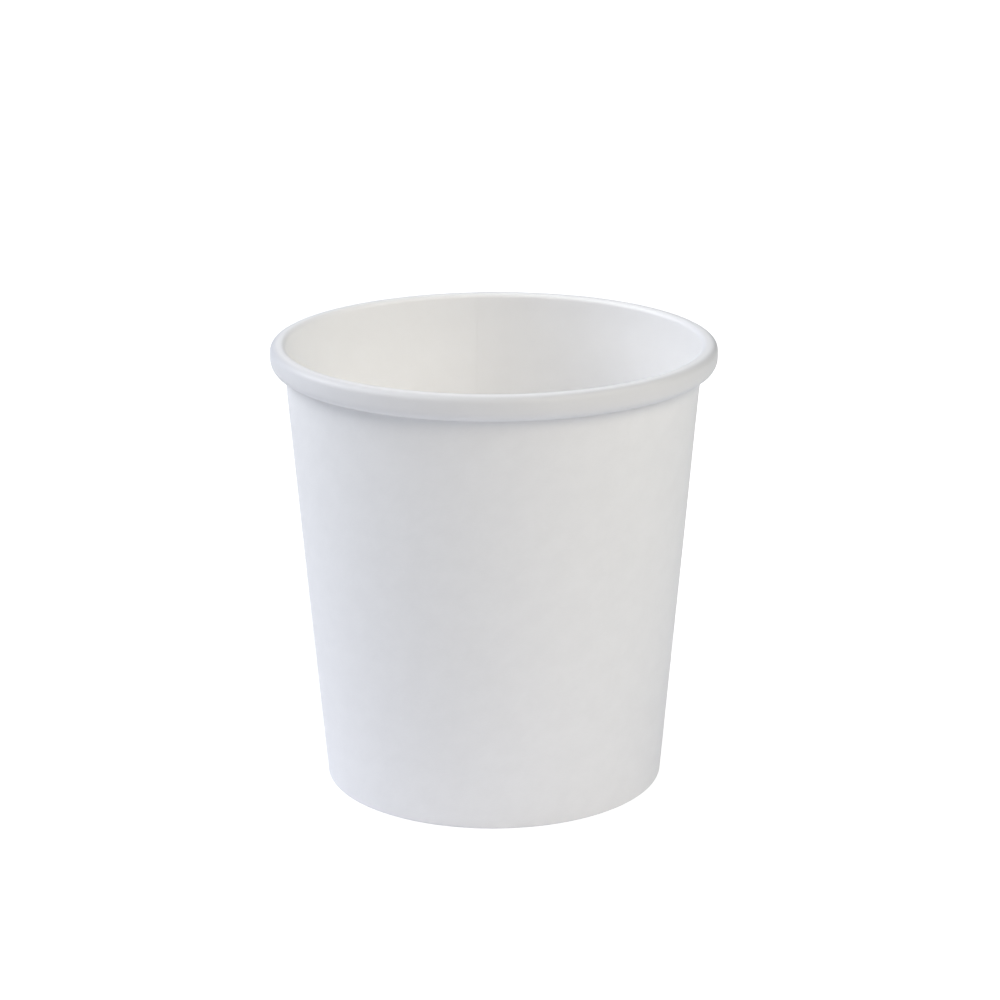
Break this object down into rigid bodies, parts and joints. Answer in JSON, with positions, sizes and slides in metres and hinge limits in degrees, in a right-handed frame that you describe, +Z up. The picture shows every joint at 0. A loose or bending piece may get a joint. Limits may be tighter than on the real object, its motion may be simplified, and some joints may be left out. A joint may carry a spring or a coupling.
{
  "type": "paper cup",
  "caption": "Round tapered paper food cup with a rolled rim, a lapped side seam, a folded-in foot hem and a separate recessed bottom.",
  "frame": {"origin": "on the axis, on the surface that the cup stands on", "axes": "+Z up along the axis, -Y towards the front, with the side seam at +Y"},
  "size_m": [0.0974, 0.0976, 0.099],
  "materials": {
    "sidewall": "bleached white paperboard, matt outside, film-coated inside",
    "bottom_disc": "bleached white paperboard, film-coated on top"
  },
  "bodies": {
    "root": {"sidewall": "sidewall", "bottom_disc": "bottom_disc"}
  },
  "joints": []
}
